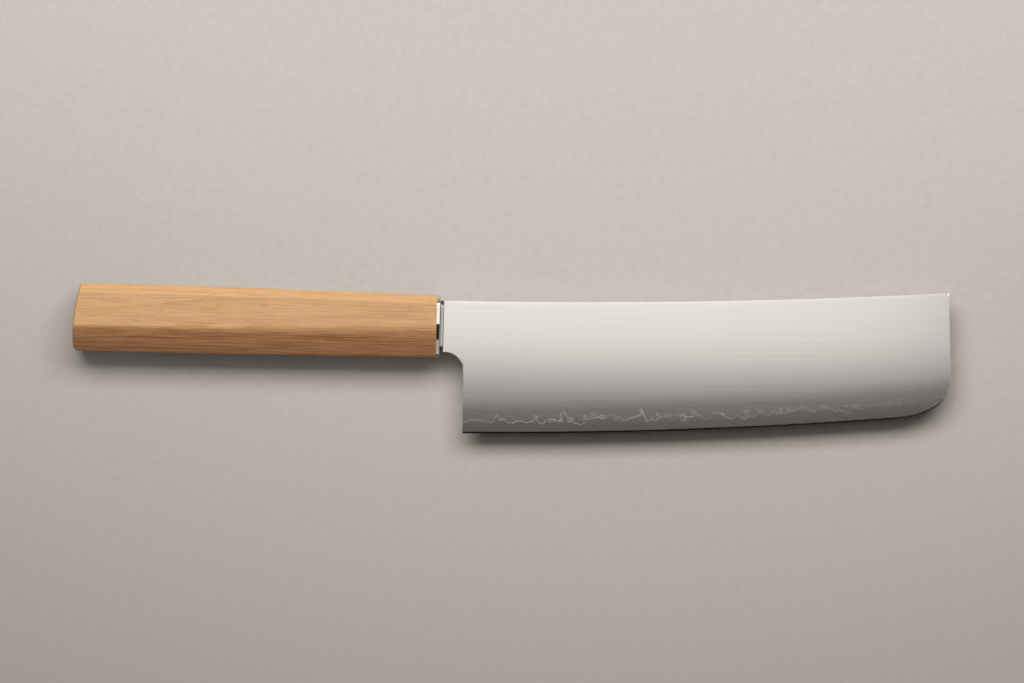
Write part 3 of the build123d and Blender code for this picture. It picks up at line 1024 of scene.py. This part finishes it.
def oiled_oak():
    """Oak planed along the grain, sanded and oiled: an even honey colour under a low satin sheen.

    The handle's flat sides lie almost along the growth rings, so they show broad soft patches. The
    chamfers and the belly cut across the rings, so they show them as lines a millimetre or so apart. The
    belly is the heart side of the plank, redder with brown streaks along it, and is also darkened by
    painted shade on the underside. Fibres give fine streaks and the open pores short dark dashes.
    """
    material, tree, shader = new_material("oiled oak")
    place = handle_place(tree)
    x, y, _ = add(tree, SPLIT, [place]).node.outputs
    year = [(0.0, "#ebbb85"), (0.5, "#e9b882"), (0.85, "#e4b17a"), (0.96, "#dfac76"), (1.0, "#ebbb85")]
    honey = add(tree, RAMP, [growth_rings(tree, place)], stops=year)
    # Painted shade: the heartwood's darker, redder colour also darkens the underside, as its shade
    rising_start = add(tree, MATH, [x, HEART_AND_SHADE_SLOPE, HEART_AND_SHADE_START_AT_RING], operation="MULTIPLY_ADD")
    heart_and_shade_start = add(tree, MATH, [rising_start, HEART_AND_SHADE_START], operation="MAXIMUM")
    heart_and_shade = add(tree, RANGE, [y, heart_and_shade_start, HEART_AND_SHADE_END], **EASED)
    wood = add(tree, MIX, {0: heart_and_shade, 6: honey, 7: "#ce9668"}, **COLOURS)

    streak = stretched_noise(tree, place, STREAK_SIZE, detail=3.0, roughness=0.6)
    fibre = stretched_noise(tree, place, FIBRE_SIZE, detail=4.0, roughness=0.6)
    lines = [
        (streak, STREAK_RIM, STREAK_STRENGTH, "#8f5128"),
        (fibre, FIBRE_RIM, FIBRE_STRENGTH, "#8a5730"),
    ]
    for noise, rim, strengths, colour in lines:
        shows = add(tree, RANGE, [noise, *rim], **EASED)
        strength = add(tree, MATH, [heart_and_shade, *strengths], operation="MULTIPLY_ADD")
        amount = add(tree, MATH, [shows, strength], operation="MULTIPLY")
        wood = add(tree, MIX, {0: amount, 6: wood, 7: colour}, **COLOURS)

    pore = stretched_noise(tree, place, PORE_SIZE, roughness=0.6)
    is_pore = add(tree, RANGE, [pore, *PORE_RIM], **EASED)
    pore_shade = add(tree, MATH, [is_pore, PORE_SHADE], operation="MULTIPLY")
    wood = add(tree, MIX, {0: pore_shade, 6: wood, 7: "#8f5f35"}, **COLOURS)
    relief = add(tree, MATH, [is_pore, -PORE_DEPTH, fibre], operation="MULTIPLY_ADD")
    bump = {"Height": relief, "Strength": RELIEF_STRENGTH, "Distance": RELIEF_HEIGHT * MM}
    roughness = add(tree, MATH, [fibre, FIBRE_ROUGHNESS, WOOD_ROUGHNESS], operation="MULTIPLY_ADD")
    normal = add(tree, "ShaderNodeBump", bump)
    feed(shader, {"Base Color": wood, "Roughness": roughness, "Normal": normal})
    return material


def cured_resin():
    """Epoxy resin, poured and cured: straw yellow, slightly cloudy, glossy where it met no mould."""
    material, tree, shader = new_material("cured epoxy resin")
    cloud = stretched_noise(tree, surface_place(tree), CLOUD_SIZE)
    straw = add(tree, RAMP, [cloud], stops=[(0.3, "#d8c79a"), (0.7, "#e6d8b2")])
    feed(shader, {"Base Color": straw, "Roughness": RESIN_ROUGHNESS})
    return material


def matt_floor():
    """Painted board, rolled matt: pale, barely mottled, with a painted pool of light on the spine's side."""
    material, tree, shader = new_material("matt pale board")
    place = surface_place(tree)
    mottle = stretched_noise(tree, place, MOTTLE_SIZE, detail=5.0, roughness=0.65)
    pale = add(tree, RAMP, [mottle], stops=[(0.3, "#d6d1c9"), (0.7, "#dfd9d2")])
    # Painted light: the board darkens away from a painted pool of light on the spine's side
    away = add(tree, VECTOR_MATH, [place, PAINTED_LIGHT_CENTRE], output="Value", operation="DISTANCE")
    fade = add(tree, RANGE, [away, *PAINTED_LIGHT_FALLOFF], **EASED)
    painted_light_board = add(tree, MIX, {0: fade, 6: pale, 7: "#a89f97"}, **COLOURS)
    feed(shader, {"Base Color": painted_light_board, "Roughness": FLOOR_ROUGHNESS})
    return material


# Studio, in metres

FLOOR_HALF_WIDTH = 3.0
LAMP_WHITE = "#fffcf9"

SCRIM_SIZE = (1.37, 0.85)
SCRIM_MIDDLE_X = -0.315
SCRIM_RIM_Y = -0.113
SCRIM_HEIGHT = 2.2

KEY_SIZE = (1.8, 0.66)
KEY_DISTANCE = 1.4
KEY_WAY = math.radians(58)

BACK_WALL_SIZE = (1.6, 0.6)
BACK_WALL_PLACE = (0, 0.85, 0.3)

REFLECTOR_SIZE = (0.2, 0.47)
REFLECTOR_DISTANCE = 1.1
REFLECTOR_WAY = math.radians(180 - 29.6)


def floor():
    """A wide flat floor that the handle's lower side rests on."""
    half = FLOOR_HALF_WIDTH
    mesh = bpy.data.meshes.new("floor")
    corners = [(-half, -half, 0), (half, -half, 0), (half, half, 0), (-half, half, 0)]
    mesh.from_pydata(corners, [], [(0, 1, 2, 3)])
    mesh.materials.append(matt_floor())
    board = bpy.data.objects.new("floor", mesh)
    bpy.context.scene.collection.objects.link(board)


def lamp(name, size, place, turn, radiance, colour=LAMP_WHITE):
    """A soft rectangular lamp of this size at this place, turned about X, equally radiant all over."""
    light = bpy.data.lights.new(name, "AREA")
    light.shape = "RECTANGLE"
    light.size, light.size_y = size
    light.energy = radiance * math.pi * size[0] * size[1]
    light.color = linear(colour)[:3]
    holder = bpy.data.objects.new(name, light)
    holder.location = place
    holder.rotation_euler = (turn, 0, 0)
    bpy.context.scene.collection.objects.link(holder)


def facing_knife(way, distance):
    """Place and turn of a lamp that faces the knife from this distance, way up from the spine's side."""
    return {"place": (0, distance * math.cos(way), distance * math.sin(way)), "turn": way - math.pi / 2}


def studio():
    """A white scrim overhead, a wide key lamp on the spine's side, a dim back wall and a small reflector.

    The scrim starts just past straight up, on the edge's side, so the blade's satin mirrors its rim as a
    fade from spine to edge. The key throws the soft shadow along the edge and underside. The back wall and
    the reflector, which stands opposite the key, are mostly there to be mirrored in the end ring.
    """
    scrim_place = (SCRIM_MIDDLE_X, SCRIM_RIM_Y + SCRIM_SIZE[1] / 2, SCRIM_HEIGHT)
    lamp("scrim", SCRIM_SIZE, place=scrim_place, turn=0, radiance=1.2)
    lamp("key", KEY_SIZE, **facing_knife(KEY_WAY, KEY_DISTANCE), radiance=5.25)
    lamp("back wall", BACK_WALL_SIZE, place=BACK_WALL_PLACE, turn=-math.pi / 2, radiance=0.3)
    reflector_stand = facing_knife(REFLECTOR_WAY, REFLECTOR_DISTANCE)
    lamp("reflector", REFLECTOR_SIZE, **reflector_stand, radiance=0.55, colour="#f0e2e0")


def room():
    """A dim room, whose pale walls at the knife's two ends show in its metal.

    Mirrored directions are pale where they lead well to the left or right of the knife and below the dark
    ceiling.
    """
    world = bpy.data.worlds.new("dim room")
    world.use_nodes = True
    tree = world.node_tree
    way = add(tree, COORDINATES, output="Generated")
    x, _, z = add(tree, SPLIT, [way]).node.outputs
    below_ceiling = add(tree, RANGE, [z, *CEILING_RIM], **EASED)
    sideways = add(tree, MATH, [x], operation="ABSOLUTE")
    at_end = add(tree, RANGE, [sideways, *WALL_RIM], **EASED)
    mirrored = add(tree, "ShaderNodeLightPath", output="Is Glossy Ray")
    wall = WALL_LEVEL
    for factor in (below_ceiling, at_end, mirrored):
        wall = add(tree, MATH, [wall, factor], operation="MULTIPLY")
    strength = add(tree, MATH, [wall, ROOM_LEVEL], operation="ADD")
    feed(tree.nodes["Background"], {"Color": "#f0ece8", "Strength": strength})
    bpy.context.scene.world = world


def camera():
    """A camera straight above, with the photograph's scale at the height of the blade."""
    distance = PHOTO_WIDTH * PIXEL * LENS / SENSOR
    right = (PHOTO_WIDTH / 2 - SHOULDER_PIXEL[0]) * PIXEL
    up = (SHOULDER_PIXEL[1] - PHOTO_HEIGHT / 2) * PIXEL
    data = bpy.data.cameras.new("camera")
    data.lens = LENS
    data.sensor_width = SENSOR
    holder = bpy.data.objects.new("camera", data)
    holder.location = (KNIFE_ORIGIN + [right, up, distance]) * MM
    bpy.context.scene.collection.objects.link(holder)
    bpy.context.scene.camera = holder


blade_pieces(satin_blade_steel())
collar_piece(satin_collar_steel())
ring_piece(polished_ring_steel())
handle_piece(oiled_oak())
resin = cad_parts["tang_adhesive"]
resin.data.materials.clear()
resin.data.materials.append(cured_resin())

floor()
studio()
room()
camera()
bpy.context.scene.view_settings.view_transform = "Standard"
